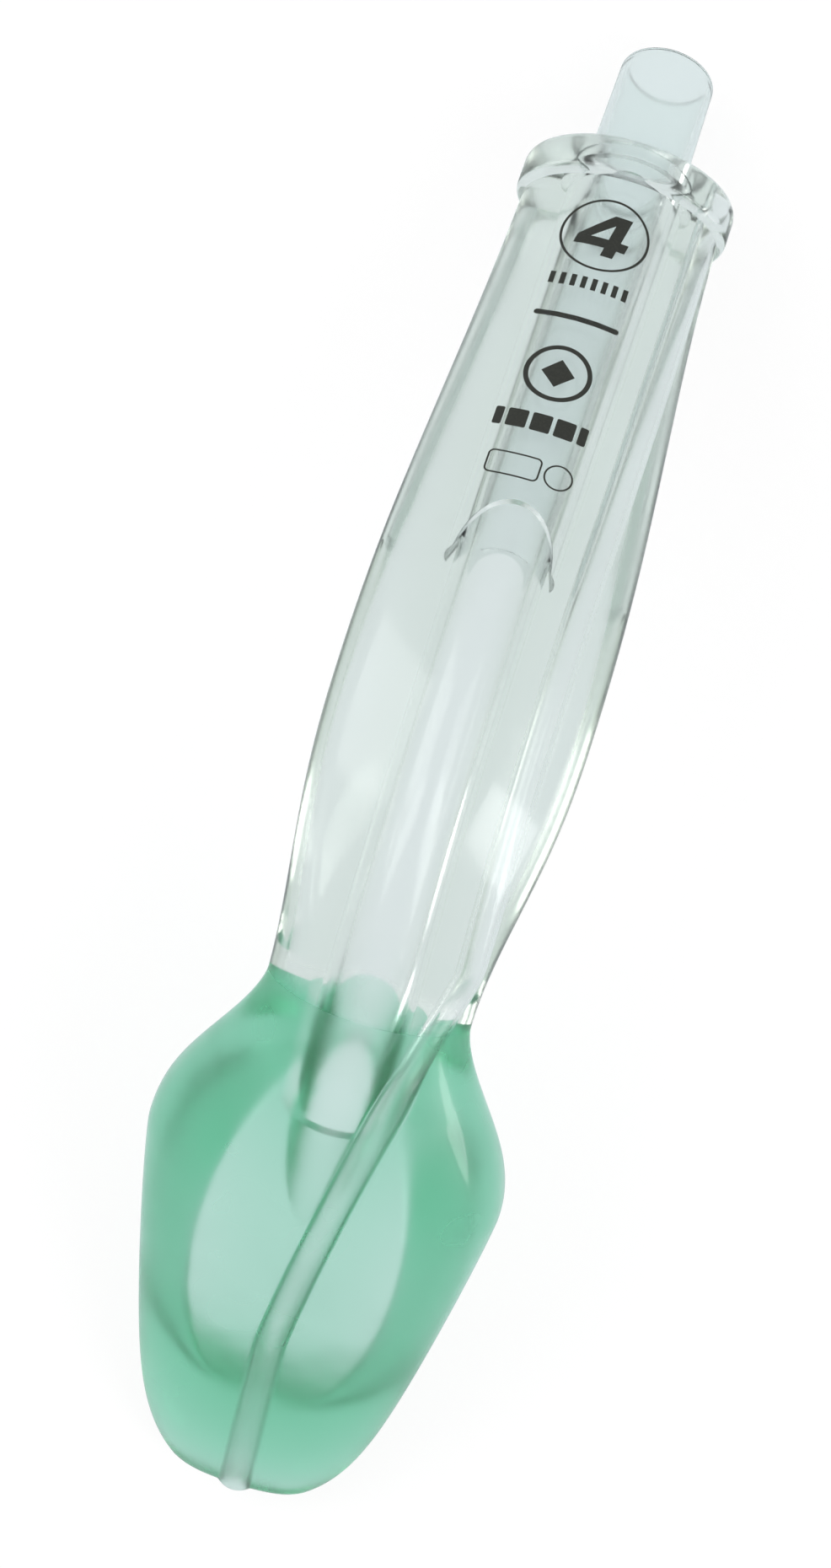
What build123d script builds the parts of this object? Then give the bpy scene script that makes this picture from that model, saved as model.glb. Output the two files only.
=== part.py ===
from build123d import *
import os
from math import copysign, cos, degrees, pi, radians, sin, sqrt, tan

# Laryngeal mask airway for an adult, in millimetres and degrees.
# Stations are lengths along the airway's centre line, counted from the collar's
# top face towards the cuff. The connector's cone stands at negative stations.
# Across a station, x is lateral and y is the height above the centre line,
# towards the back of the airway.

# Centre line: a straight run, the main bend, then a slack bend through the cuff
PROXIMAL_RISE = 29.43
STRAIGHT_LENGTH = 66.0
BEND_RADIUS = 76.0
BEND_ANGLE = 51.5
CUFF_BEND_RADIUS = 360.0
OUTLET_BEND_RADIUS = 160.0

# Connector and bite block
CONE_LENGTH = 22.0
CONE_TIP_RADIUS = 7.5
CONE_TAPER = 1 / 40
CONE_RIM_CHAMFER = 0.3
LUMEN_RADIUS = 6.15
SLEEVE_WALL = 1.4
SLEEVE_OVERHANG = 9.5
SLEEVE_ARCH_HEIGHT = 8.0
RETAINER_STEP = 1.15
RETAINER_THICKNESS = 2.0
RETAINER_DEPTH = 2.6

# Collar, an oval flange whose lip stands out from the stem
COLLAR_SIDE_LIP = 1.3
COLLAR_BACK_LIP = 2.0
COLLAR_HEIGHT = 7.2
COLLAR_TOP_ROUND = 1.8
COLLAR_UNDER_ROUND = 1.2

# Stem: an oval that swells to its middle and narrows to the neck
STEM_TOP_HALF_WIDTH = 15.4
STEM_MIDDLE_HALF_WIDTH = 19.2
STEM_MIDDLE_STATION = 92.0
STEM_HALF_DEPTH = 9.6
STEM_SIDE_SHIFT = 0.9
STEM_EDGE_THINNING = 1.2
STEM_NARROWING_POWER = 3
NECK_BEYOND_BEND = 6.7
NECK_HALF_WIDTH = 15.4
NECK_HALF_DEPTH = 9.4

# Stub of airway tube inside the cuff
STUB_WALL = 1.55
STUB_ROOT = 2.0
STUB_LENGTH = 19.0
OUTLET_REACH = 38.0

# Gastric channel: beside the airway in the stem, then across the cuff's back
CHANNEL_RADIUS = 2.1
CHANNEL_WALL = 0.8
CHANNEL_SIDE = 12.0
CHANNEL_LEAVE_BEFORE_BEND_END = 2.0
CHANNEL_CLIMB_END = 13.0
CHANNEL_CENTRED_BEFORE_TIP = 35.5
CHANNEL_CROSSING_POWER = 1.25
CHANNEL_PROUD = 1.4

# Cuff, with its lengths from the neck
CUFF_FLARE_LENGTH = 32.0
CUFF_LENGTH = 94.5
CUFF_HALF_WIDTH = 27.4
CUFF_BACK_HEIGHT = 9.0
CUFF_KEEL_DEPTH = 15.0
CUFF_RIM_DROP = 5.0
CUFF_SQUARENESS = 0.8
CUFF_FLARE_POWER = 1.5
CUFF_NARROWING = 0.4
CUFF_NARROWING_POWER = 1.15

# Blunt tip, whose corners and chin are rounded over its last stretch
TIP_HALF_WIDTH = 8.0
TIP_BACK_HEIGHT = 3.4
TIP_CHIN_DEPTH = 7.0
TIP_KEEL_DEPTH = 2.6
TIP_SQUARENESS = 0.5
TIP_ROUNDNESS = 0.35
TIP_CORNER_POWER = 8
TIP_CHIN_POWER = 16

# Bowl on the cuff's front
BOWL_HALF_WIDTH = 18.5
BOWL_NECK_GAP = 10.0
BOWL_TIP_GAP = 15.5
BOWL_ROOF_HEIGHT = 3.0
BOWL_END_DROP = 11.0
BOWL_SQUARENESS = 0.9

# Points that carry one section's outline, and sections that carry each form
OUTLINE_POINTS = 16
STEM_SECTIONS = 5
CUFF_FLARE_SECTIONS = 5
CUFF_TIP_SECTIONS = 8
BOWL_SECTIONS = 8
CHANNEL_POINTS = 6

# Sizes and stations that follow from the sizes above
sleeve_radius = LUMEN_RADIUS + SLEEVE_WALL
sleeve_end = STRAIGHT_LENGTH + SLEEVE_OVERHANG
stub_radius = LUMEN_RADIUS + STUB_WALL
bend_end = STRAIGHT_LENGTH + BEND_RADIUS * radians(BEND_ANGLE)
neck_station = bend_end + NECK_BEYOND_BEND
widest_station = neck_station + CUFF_FLARE_LENGTH
tip_station = neck_station + CUFF_LENGTH
channel_leave = bend_end - CHANNEL_LEAVE_BEFORE_BEND_END
channel_centred = tip_station - CHANNEL_CENTRED_BEFORE_TIP
rise_direction = (-cos(radians(PROXIMAL_RISE)), sin(radians(PROXIMAL_RISE)))


def axis_line(start, end, last_radius):
    """Centre line between two stations, in the plane of symmetry, towards the cuff."""
    first = (rise_direction[0] * start, rise_direction[1] * start)
    bent = min(end, bend_end) - STRAIGHT_LENGTH
    with BuildLine(Plane.YZ) as line:
        straight = PolarLine(first, STRAIGHT_LENGTH - start, direction=rise_direction)
        bend = JernArc(straight @ 1, straight % 1, BEND_RADIUS, degrees(bent / BEND_RADIUS))
        if end > bend_end:
            JernArc(bend @ 1, bend % 1, last_radius, degrees((end - bend_end) / last_radius))
    return line.wires()[0]


centre_line = axis_line(-CONE_LENGTH, tip_station, CUFF_BEND_RADIUS)
lumen_line = axis_line(-CONE_LENGTH, neck_station + OUTLET_REACH, OUTLET_BEND_RADIUS)


def station_plane(station, line=centre_line):
    """Plane across a centre line: its x is lateral, its y points to the back."""
    along = station + CONE_LENGTH
    point = line.position_at(along, position_mode=PositionMode.LENGTH)
    tangent = line.tangent_at(along, position_mode=PositionMode.LENGTH)
    return Plane(origin=point, x_dir=(1, 0, 0), z_dir=tangent)


class Section:
    """One closed outline across the centre line.

    A power of 1 gives half ellipses, a lower one a squarer outline and a higher
    one thinner edges. The keel may have a power of its own.
    """

    def __init__(self, half_width, back, keel, middle=0.0, shift=0.0, power=1.0, keel_power=None):
        self.half_width = half_width
        self.back = back
        self.keel = keel
        self.middle = middle
        self.shift = shift
        self.power = power
        self.keel_power = power if keel_power is None else keel_power

    def outline(self):
        """Points of the outline, from the +x side round by the back."""
        points = []
        for number in range(OUTLINE_POINTS):
            turn = 2 * pi * number / OUTLINE_POINTS
            on_back = sin(turn) > 0
            power = self.power if on_back else self.keel_power
            depth = self.back - self.middle if on_back else self.keel + self.middle
            side = copysign(abs(cos(turn)) ** min(power, 1.0), cos(turn))
            height = copysign(abs(sin(turn)) ** power, sin(turn))
            points.append((self.shift + self.half_width * side, self.middle + depth * height))
        return points

    def back_at(self, x):
        """Height of the back above the centre line at this lateral place."""
        side = min(abs(x - self.shift) / self.half_width, 1.0) ** (1 / min(self.power, 1.0))
        return self.middle + (self.back - self.middle) * sqrt(1 - side**2) ** self.power


def blend(first, last, share):
    """Value that goes from first to last as its share goes from 0 to 1."""
    return first + (last - first) * share


def rounded(full, end, share, power):
    """Share of a full size that is left where the tip rounds it down to its end size."""
    return (1 - (1 - (end / full) ** (1 / TIP_ROUNDNESS)) * share**power) ** TIP_ROUNDNESS


def stem_section(station):
    """Section of the stem, swelling to its middle and narrowing to the neck."""
    if station <= STEM_MIDDLE_STATION:
        swell = sin(pi / 2 * station / STEM_MIDDLE_STATION) ** 2
        start = STEM_TOP_HALF_WIDTH
    else:
        narrowing = (station - STEM_MIDDLE_STATION) / (neck_station - STEM_MIDDLE_STATION)
        swell = 1 - sin(pi / 2 * narrowing) ** STEM_NARROWING_POWER
        start = NECK_HALF_WIDTH
    depth = blend(STEM_HALF_DEPTH, NECK_HALF_DEPTH, station / neck_station)
    return Section(
        blend(start, STEM_MIDDLE_HALF_WIDTH, swell),
        depth,
        depth,
        shift=STEM_SIDE_SHIFT * swell,
        power=STEM_EDGE_THINNING,
    )


def flare_section(share):
    """Section of the cuff at a share of its flare, from the neck to the widest place."""
    neck = stem_section(neck_station)
    flare = sin(pi / 2 * share) ** CUFF_FLARE_POWER
    return Section(
        blend(neck.half_width, CUFF_HALF_WIDTH, flare),
        blend(neck.back, CUFF_BACK_HEIGHT, share),
        blend(neck.keel, CUFF_KEEL_DEPTH, flare),
        middle=-CUFF_RIM_DROP * flare,
        power=blend(neck.power, CUFF_SQUARENESS, flare),
    )


def tapered_section(share):
    """Section of the cuff at a share of its way from the widest place to the tip."""
    shoulder = CUFF_HALF_WIDTH * (1 - CUFF_NARROWING)
    half_width = CUFF_HALF_WIDTH * (1 - CUFF_NARROWING * share**CUFF_NARROWING_POWER)
    keel = blend(CUFF_KEEL_DEPTH, TIP_CHIN_DEPTH, share**2)
    return Section(
        half_width * rounded(shoulder, TIP_HALF_WIDTH, share, TIP_CORNER_POWER),
        blend(CUFF_BACK_HEIGHT, TIP_BACK_HEIGHT, share**2),
        keel * rounded(TIP_CHIN_DEPTH, TIP_KEEL_DEPTH, share, TIP_CHIN_POWER),
        middle=-CUFF_RIM_DROP * sqrt(1 - share),
        power=CUFF_SQUARENESS,
        keel_power=blend(CUFF_SQUARENESS, TIP_SQUARENESS, share),
    )


def cuff_section(station):
    """Section of the cuff, flaring from the neck and narrowing to a blunt tip."""
    if station <= widest_station:
        return flare_section((station - neck_station) / CUFF_FLARE_LENGTH)
    return tapered_section(min((station - widest_station) / (tip_station - widest_station), 1.0))


def bowl_section(round_off):
    """Section of the bowl's hollow, open past the keel, as wide as its round-off allows."""
    return Section(
        BOWL_HALF_WIDTH * round_off,
        BOWL_ROOF_HEIGHT - BOWL_END_DROP * (1 - round_off),
        2 * CUFF_KEEL_DEPTH,
        middle=-CUFF_KEEL_DEPTH,
        power=BOWL_SQUARENESS,
    )


def spread(first, last, count):
    """Evenly spaced values from first to last."""
    return [blend(first, last, number / (count - 1)) for number in range(count)]


def oval_sketch(plane, section):
    """Face of one section, bounded by a smooth closed curve."""
    with BuildSketch(plane) as sketch:
        with BuildLine():
            Spline(*section.outline(), periodic=True)
        make_face()
    return sketch.sketch


def tangent_path(points):
    """Straight runs joined by tangent arcs as large as the runs allow."""
    radii = []
    for before, corner, after in zip(points, points[1:], points[2:]):
        turn = radians((corner - before).get_angle(after - corner))
        run = min((corner - before).length, (after - corner).length)
        radii.append(0.45 * run / tan(turn / 2))
    with BuildLine() as path:
        FilletPolyline(*points, radius=radii)
    return path.wires()[0]


# Connector: 15 mm cone, retaining ring and bite block, one rigid moulding.
# Its outer form also shapes the seat in the airway body.
axis_plane = Plane(origin=(0, 0, 0), x_dir=station_plane(0).y_dir, z_dir=(1, 0, 0))
connector_axis = Axis((0, 0, 0), station_plane(0).z_dir)
cone_base_radius = CONE_TIP_RADIUS + CONE_LENGTH * CONE_TAPER / 2
retainer_radius = sleeve_radius + RETAINER_STEP

with BuildPart() as connector_form:
    with BuildSketch(axis_plane):
        with BuildLine():
            Polyline(
                (0, -CONE_LENGTH),
                (CONE_TIP_RADIUS - CONE_RIM_CHAMFER, -CONE_LENGTH),
                (CONE_TIP_RADIUS, CONE_RIM_CHAMFER - CONE_LENGTH),
                (cone_base_radius, 0),
                (sleeve_radius, 0),
                (sleeve_radius, RETAINER_DEPTH),
                (retainer_radius, RETAINER_DEPTH),
                (retainer_radius, RETAINER_DEPTH + RETAINER_THICKNESS),
                (sleeve_radius, RETAINER_DEPTH + RETAINER_THICKNESS),
                (sleeve_radius, sleeve_end),
                (0, sleeve_end),
                close=True,
            )
        make_face()
    revolve(axis=connector_axis)

    arch_centre = axis_plane.from_local_coords((0, sleeve_end, 0))
    arch_plane = Plane(origin=arch_centre, x_dir=(1, 0, 0), z_dir=axis_plane.x_dir)
    with BuildSketch(arch_plane):
        Ellipse((LUMEN_RADIUS + sleeve_radius) / 2, SLEEVE_ARCH_HEIGHT)
    extrude(amount=2 * sleeve_radius, both=True, mode=Mode.SUBTRACT)

with BuildPart() as lumen_form:
    with BuildSketch(station_plane(-CONE_LENGTH)):
        Circle(LUMEN_RADIUS)
    sweep(path=lumen_line)

with BuildPart() as hollow_connector:
    add(connector_form.part)
    add(lumen_form.part, mode=Mode.SUBTRACT)

# Stub of the airway tube that carries the lumen into the cuff
with BuildPart() as stub_form:
    with BuildSketch(station_plane(-CONE_LENGTH)):
        Circle(stub_radius)
    sweep(path=lumen_line)
    split(bisect_by=station_plane(neck_station - STUB_ROOT, lumen_line), keep=Keep.TOP)
    split(bisect_by=station_plane(neck_station + STUB_LENGTH, lumen_line), keep=Keep.BOTTOM)


# Gastric channel: straight and bent with the stem, then over the cuff's back and
# out of the tip, where its wall stands proud as a ridge
def channel_point(station):
    """Centre of the gastric channel on the cuff's back."""
    crossing = max(channel_centred - station, 0) / (channel_centred - channel_leave)
    x = CHANNEL_SIDE * crossing**CHANNEL_CROSSING_POWER
    height = cuff_section(station).back_at(x) + CHANNEL_PROUD - CHANNEL_RADIUS - CHANNEL_WALL
    return station_plane(station).from_local_coords((x, height, 0))


leave_plane = station_plane(channel_leave).shift_origin(
    station_plane(channel_leave).from_local_coords((CHANNEL_SIDE, 0, 0))
)
climb_point = leave_plane.from_local_coords((0, 0, neck_station - channel_leave))
crossing = spread(neck_station + CHANNEL_CLIMB_END, tip_station, CHANNEL_POINTS)
crossing_points = [channel_point(station) for station in crossing]
last_run = crossing_points[-1] - crossing_points[-2]
way_out = crossing_points[-1] + last_run.normalized() * 2 * CHANNEL_RADIUS
cuff_channel_line = tangent_path([leave_plane.origin, climb_point, *crossing_points[:-1], way_out])

with BuildPart() as channel_form:
    with BuildSketch(station_plane(0)):
        with Locations((CHANNEL_SIDE, 0)):
            Circle(CHANNEL_RADIUS)
    sweep(path=axis_line(0, channel_leave, CUFF_BEND_RADIUS))
    with BuildSketch(leave_plane):
        Circle(CHANNEL_RADIUS)
    sweep(path=cuff_channel_line)

with BuildPart() as ridge_form:
    with BuildSketch(leave_plane):
        Circle(CHANNEL_RADIUS + CHANNEL_WALL)
    sweep(path=cuff_channel_line)
    split(bisect_by=station_plane(neck_station), keep=Keep.TOP)
    split(bisect_by=station_plane(tip_station), keep=Keep.BOTTOM)

# Bowl of the cuff, open towards the keel, with sections closer together at its ends
with BuildPart() as bowl_form:
    bowl_start = neck_station + BOWL_NECK_GAP
    bowl_end = tip_station - BOWL_TIP_GAP
    for number in range(1, BOWL_SECTIONS):
        turn = pi * number / BOWL_SECTIONS
        plane = station_plane(blend(bowl_start, bowl_end, (1 - cos(turn)) / 2))
        add(oval_sketch(plane, bowl_section(sin(turn))))
    loft()

# Collar: an oval flange with rounded edges round the connector's seat
with BuildPart() as collar_form:
    with BuildSketch(station_plane(0)):
        Ellipse(STEM_TOP_HALF_WIDTH + COLLAR_SIDE_LIP, STEM_HALF_DEPTH + COLLAR_BACK_LIP)
    extrude(amount=COLLAR_HEIGHT)
    rims = collar_form.edges().filter_by(GeomType.ELLIPSE).sort_by(connector_axis)
    fillet(rims[0], COLLAR_TOP_ROUND)
    rims = collar_form.edges().filter_by(GeomType.ELLIPSE).sort_by(connector_axis)
    fillet(rims[-1], COLLAR_UNDER_ROUND)

# Clear airway body: collar, stem and stub, hollowed for the connector, the lumen
# and the gastric channel
with BuildPart() as body_form:
    swelling = spread(COLLAR_HEIGHT / 2, STEM_MIDDLE_STATION, STEM_SECTIONS)
    narrowing = spread(STEM_MIDDLE_STATION, neck_station, STEM_SECTIONS)
    for station in [*swelling, *narrowing[1:]]:
        add(oval_sketch(station_plane(station), stem_section(station)))
    loft()
    add(collar_form.part)
    add(stub_form.part)
    for form in (connector_form, lumen_form, channel_form, bowl_form):
        add(form.part, mode=Mode.SUBTRACT)

# Cuff: soft moulding over the airway's end, with sections closer together at its tip
with BuildPart() as cuff_form:
    flaring = spread(neck_station, widest_station, CUFF_FLARE_SECTIONS)
    shares = [sin(pi / 2 * number / CUFF_TIP_SECTIONS) for number in range(1, CUFF_TIP_SECTIONS + 1)]
    tapering = [blend(widest_station, tip_station, share) for share in shares]
    for station in [*flaring, *tapering]:
        add(oval_sketch(station_plane(station), cuff_section(station)))
    loft()
    add(ridge_form.part)
    for form in (stub_form, bowl_form, lumen_form, channel_form):
        add(form.part, mode=Mode.SUBTRACT)

# Resting place: the airway stands like a bridge on the connector's rim and the
# cuff's chin, centred over the origin
whole = Compound([hollow_connector.part, body_form.part, cuff_form.part]).bounding_box()
rest = Location((-whole.center().X, -whole.center().Y, -whole.min.Z))

with BuildPart() as connector:
    with Locations(rest):
        add(hollow_connector.part)

with BuildPart() as airway_body:
    with Locations(rest):
        add(body_form.part)

with BuildPart() as cuff:
    with Locations(rest):
        add(cuff_form.part)

os.makedirs("parts", exist_ok=True)
connector.part.label = "connector"
airway_body.part.label = "airway_body"
cuff.part.label = "cuff"
export_step(connector.part, "parts/connector.step")
export_step(airway_body.part, "parts/airway_body.step")
export_step(cuff.part, "parts/cuff.step")
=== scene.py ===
"""Laryngeal mask airway: clear gel stem, milky connector and mint gel cuff, seen from its back."""

import logging
import math
from dataclasses import dataclass, field
from enum import Enum
from functools import partial
from typing import Callable

import bmesh
import bpy
import numpy as np
from bpy.types import ID, Material, Mesh, Node, NodeSocket, NodeTree, Object
from mathutils import Matrix, Vector

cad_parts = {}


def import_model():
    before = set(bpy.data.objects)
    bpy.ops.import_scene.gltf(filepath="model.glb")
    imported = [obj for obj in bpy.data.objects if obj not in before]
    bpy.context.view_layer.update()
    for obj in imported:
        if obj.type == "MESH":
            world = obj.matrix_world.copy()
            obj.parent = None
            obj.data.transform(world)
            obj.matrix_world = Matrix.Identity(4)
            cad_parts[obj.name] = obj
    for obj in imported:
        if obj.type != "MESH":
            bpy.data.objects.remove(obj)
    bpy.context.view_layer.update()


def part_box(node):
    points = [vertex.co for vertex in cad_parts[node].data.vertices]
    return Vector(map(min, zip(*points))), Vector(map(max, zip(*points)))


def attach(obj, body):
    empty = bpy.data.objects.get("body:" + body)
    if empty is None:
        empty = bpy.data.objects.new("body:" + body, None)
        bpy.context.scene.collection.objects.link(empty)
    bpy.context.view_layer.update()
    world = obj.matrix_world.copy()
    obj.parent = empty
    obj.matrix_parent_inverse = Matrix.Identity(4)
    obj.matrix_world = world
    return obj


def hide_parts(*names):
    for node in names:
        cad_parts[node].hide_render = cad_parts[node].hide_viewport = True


MM = 0.001
PHOTO_WIDTH = 986
PHOTO_HEIGHT = 1860
BODY = "root"
BONDED = "bonded"

# Millimetres: the gap left between two mouldings, how far a cutting form stands out of the piece that
# it cuts, the spacing of rings along a bore, and a height that lies below every surface of the part.
CLEARANCE = 0.03
OVERCUT = 1.0
BORE_STEP = 1.2
FAR_BELOW = -99.0
BORE_SIDES = 96
OUTLET_BEND_RADIUS = 160.0

Array = np.ndarray
Pair = tuple[float, float]
Colour = tuple[float, float, float, float]

# A call that adds a node to one tree, as node() does.
Adder = Callable[..., Node]

log = logging.getLogger("airway")


class Ray(Enum):
    """Rays that see the pale studio and not plain white when they meet the floor or the world."""

    GLOSSY = "Is Glossy Ray"
    TRANSMISSION = "Is Transmission Ray"


def linear(code: str) -> Colour:
    """Turn an sRGB hex value into a linear colour.

    Args:
        code: the colour as "#rrggbb".

    Returns:
        The linear red, green, blue and an alpha of 1.
    """
    values = [int(code[i : i + 2], 16) / 255 for i in (1, 3, 5)]
    return (*[v / 12.92 if v <= 0.04045 else ((v + 0.055) / 1.055) ** 2.4 for v in values], 1.0)


def smooth_max(a: Array, b: Array, width: float) -> Array:
    """Take the larger of two heights, with a rounded corner where they cross.

    Args:
        a: first heights.
        b: second heights.
        width: size of the rounded corner, in the heights' units.

    Returns:
        The blended heights.
    """
    share = np.clip(0.5 + 0.5 * (a - b) / width, 0, 1)
    return b * (1 - share) + a * share + width * share * (1 - share)


def between(first: float, second: float, share: float) -> float:
    """Value that lies a share of the way from one value to another."""
    return first + (second - first) * share


def soft_step(share: Array | float) -> Array | float:
    """Ease a share from 0 to 1 so that it starts and ends level."""
    return share * share * (3 - 2 * share)


def unit_circle(count: int) -> tuple[Array, Array]:
    """Cosines and sines of evenly spaced turns round a circle."""
    turn = np.linspace(0, 2 * math.pi, count, endpoint=False)
    return np.cos(turn), np.sin(turn)


def spaced(first: float, last: float, step: float) -> Array:
    """Values from first to last, no further apart than step."""
    count = max(int(math.ceil(abs(last - first) / step)), 1) + 1
    return np.linspace(first, last, count)


@dataclass(frozen=True)
class CentreLine:
    """The airway's centre line: a straight run and two tangent arcs, in millimetres.

    Stations are lengths along it, counted from the collar's top face.
    """

    rise: float = 29.43
    straight: float = 66.0
    bend_radius: float = 76.0
    bend_angle: float = 51.5
    last_radius: float = 360.0
    collar_top: Pair = (0.0, 0.0)

    @property
    def bend_end(self) -> float:
        """Station where the main bend ends."""
        return self.straight + self.bend_radius * math.radians(self.bend_angle)

    def at(self, station: Array) -> tuple[Array, Array, Array, Array]:
        """Find points of the line and its direction.

        Args:
            station: lengths along the line.

        Returns:
            Distances towards the cuff, heights, and the cosine and sine of the slope.
        """
        s = np.asarray(station, float)
        start = math.radians(self.rise)
        end = start - math.radians(self.bend_angle)
        run = np.minimum(s, self.straight)
        turned = start - np.clip(s - self.straight, 0, self.bend_end - self.straight) / self.bend_radius
        slope = turned - np.maximum(s - self.bend_end, 0) / self.last_radius
        along = run * math.cos(start)
        along = along + self.bend_radius * (math.sin(start) - np.sin(turned))
        before = np.where(s > self.bend_end, end, slope)
        along = along + self.last_radius * (np.sin(before) - np.sin(slope))
        height = run * math.sin(start) + self.bend_radius * (np.cos(turned) - math.cos(start))
        height = height + self.last_radius * (np.cos(slope) - np.cos(before))
        return along, height, np.cos(slope), np.sin(slope)

    def place(self, station: Array, x: Array, y: Array, unbent: bool = False) -> Array:
        """Turn places across the line into points of the row frame.

        Args:
            station: lengths along the line.
            x: lateral places.
            y: heights above the line, towards the back.
            unbent: whether the straight run goes on past its end.

        Returns:
            Points in metres, one row each.
        """
        if unbent:
            cosine, sine = math.cos(math.radians(self.rise)), math.sin(math.radians(self.rise))
            along, height = station * cosine, station * sine
        else:
            along, height, cosine, sine = self.at(station)
        points = np.empty(np.broadcast(station, x, y).shape + (3,))
        points[..., 0] = x
        points[..., 1] = self.collar_top[0] - along + y * sine
        points[..., 2] = self.collar_top[1] + height + y * cosine
        return points * MM


def resampled(outline: Array, count: int) -> Array:
    """Space an outline's points evenly by its length.

    Args:
        outline: closed outline, one row a point, the first point not repeated.
        count: number of points wanted.

    Returns:
        The new outline, which starts at the same point.
    """
    closed = np.vstack([outline, outline[:1]])
    length = np.concatenate([[0], np.cumsum(np.linalg.norm(np.diff(closed, axis=0), axis=1))])
    wanted = np.linspace(0, length[-1], count, endpoint=False)
    return np.column_stack([np.interp(wanted, length, closed[:, i]) for i in range(2)])


def new_object(name: str, data: ID) -> Object:
    """Link a mesh, light or camera to the scene as an object at the origin."""
    thing = bpy.data.objects.new(name, data)
    bpy.context.scene.collection.objects.link(thing)
    return thing


def ring_object(name: str, rings: list[Array], joined: bool = False) -> Object:
    """Skin a row of rings with quads.

    Args:
        name: name of the object and its mesh.
        rings: rings with as many points, one row each, in metres.
        joined: whether the last ring joins the first, as in a tube with a wall, and not two caps.

    Returns:
        The object, with its faces pointing outwards.
    """
    count, sides = len(rings), len(rings[0])
    vertices = np.concatenate(rings)
    rows = count if joined else count - 1
    i = np.arange(rows)[:, None] * sides
    k = ((np.arange(rows)[:, None] + 1) % count) * sides
    j = np.arange(sides)[None, :]
    n = (j + 1) % sides
    faces = np.stack([i + j, i + n, k + n, k + j], axis=-1).reshape(-1, 4).tolist()
    if not joined:
        faces.append(list(range(sides - 1, -1, -1)))
        faces.append([(count - 1) * sides + j for j in range(sides)])
    mesh = bpy.data.meshes.new(name)
    mesh.from_pydata(vertices.tolist(), [], faces)
    work = bmesh.new()
    work.from_mesh(mesh)
    bmesh.ops.recalc_face_normals(work, faces=work.faces)
    work.to_mesh(mesh)
    work.free()
    return new_object(name, mesh)


def cut(target: Object, tools: list[Object]) -> None:
    """Cut tools out of a piece and keep the result as its plain mesh.

    Args:
        target: the piece that is cut.
        tools: closed pieces that are taken out of it and then deleted.
    """
    for tool in tools:
        modifier = target.modifiers.new("cut", "BOOLEAN")
        modifier.operation = "DIFFERENCE"
        modifier.solver = "EXACT"
        modifier.object = tool
        bake(target)
        bpy.data.objects.remove(tool, do_unlink=True)


def bake(target: Object) -> None:
    """Turn a piece's modifiers into its plain mesh."""
    graph = bpy.context.evaluated_depsgraph_get()
    mesh = bpy.data.meshes.new_from_object(target.evaluated_get(graph))
    target.modifiers.clear()
    target.data = mesh


def smooth(target: Object, angle: float = 40.0) -> None:
    """Shade a piece smooth, with crisp edges where its faces meet at more than an angle in degrees."""
    target.data.shade_smooth()
    target.data.set_sharp_from_angle(angle=math.radians(angle))


def mark_bonded(target: Object, test: Callable[[Array], Array]) -> None:
    """Mark the faces of a piece that lie against another moulding.

    Args:
        target: the piece.
        test: takes face centres in metres, one row each, and tells which faces are bonded.
    """
    mesh = target.data
    centres = np.empty(len(mesh.polygons) * 3)
    mesh.polygons.foreach_get("center", centres)
    layer = mesh.attributes.new(BONDED, "FLOAT", "FACE")
    layer.data.foreach_set("value", test(centres.reshape(-1, 3)).astype(np.float32))


def node(
    tree: NodeTree, kind: str, settings: dict | None = None, **inputs: object
) -> Node:
    """Add a node with its settings, values and links.

    Args:
        tree: tree that gets the node.
        kind: the node's type name.
        settings: attributes of the node.
        inputs: value or output socket for each input, by name with _ for a space, or by n and its place.

    Returns:
        The new node.
    """
    made = tree.nodes.new(kind)
    for key, value in (settings or {}).items():
        setattr(made, key, value)
    for key, value in inputs.items():
        numbered = key[0] == "n" and key[1:].isdigit()
        socket = made.inputs[int(key[1:]) if numbered else key.replace("_", " ")]
        if isinstance(value, NodeSocket):
            tree.links.new(value, socket)
        else:
            socket.default_value = value
    return made


def blank_material(name: str) -> tuple[Material, Adder]:
    """Make a material without nodes.

    Args:
        name: name of the material.

    Returns:
        The material, and the call that adds nodes to it.
    """
    material = bpy.data.materials.new(name)
    material.use_nodes = True
    material.node_tree.nodes.clear()
    return material, partial(node, material.node_tree)


def absorption(seen: str, length: float) -> tuple[Colour, float]:
    """Work out an absorbing volume from what is seen through it.

    Args:
        seen: sRGB hex of white seen through the material.
        length: thickness in millimetres at which it looks so.

    Returns:
        Colour and density of the absorption.
    """
    losses = [-math.log(max(value, 1e-3)) / (length * MM) for value in linear(seen)[:3]]
    density = max(losses)
    return (*[1 - loss / density for loss in losses], 1.0), density


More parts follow.
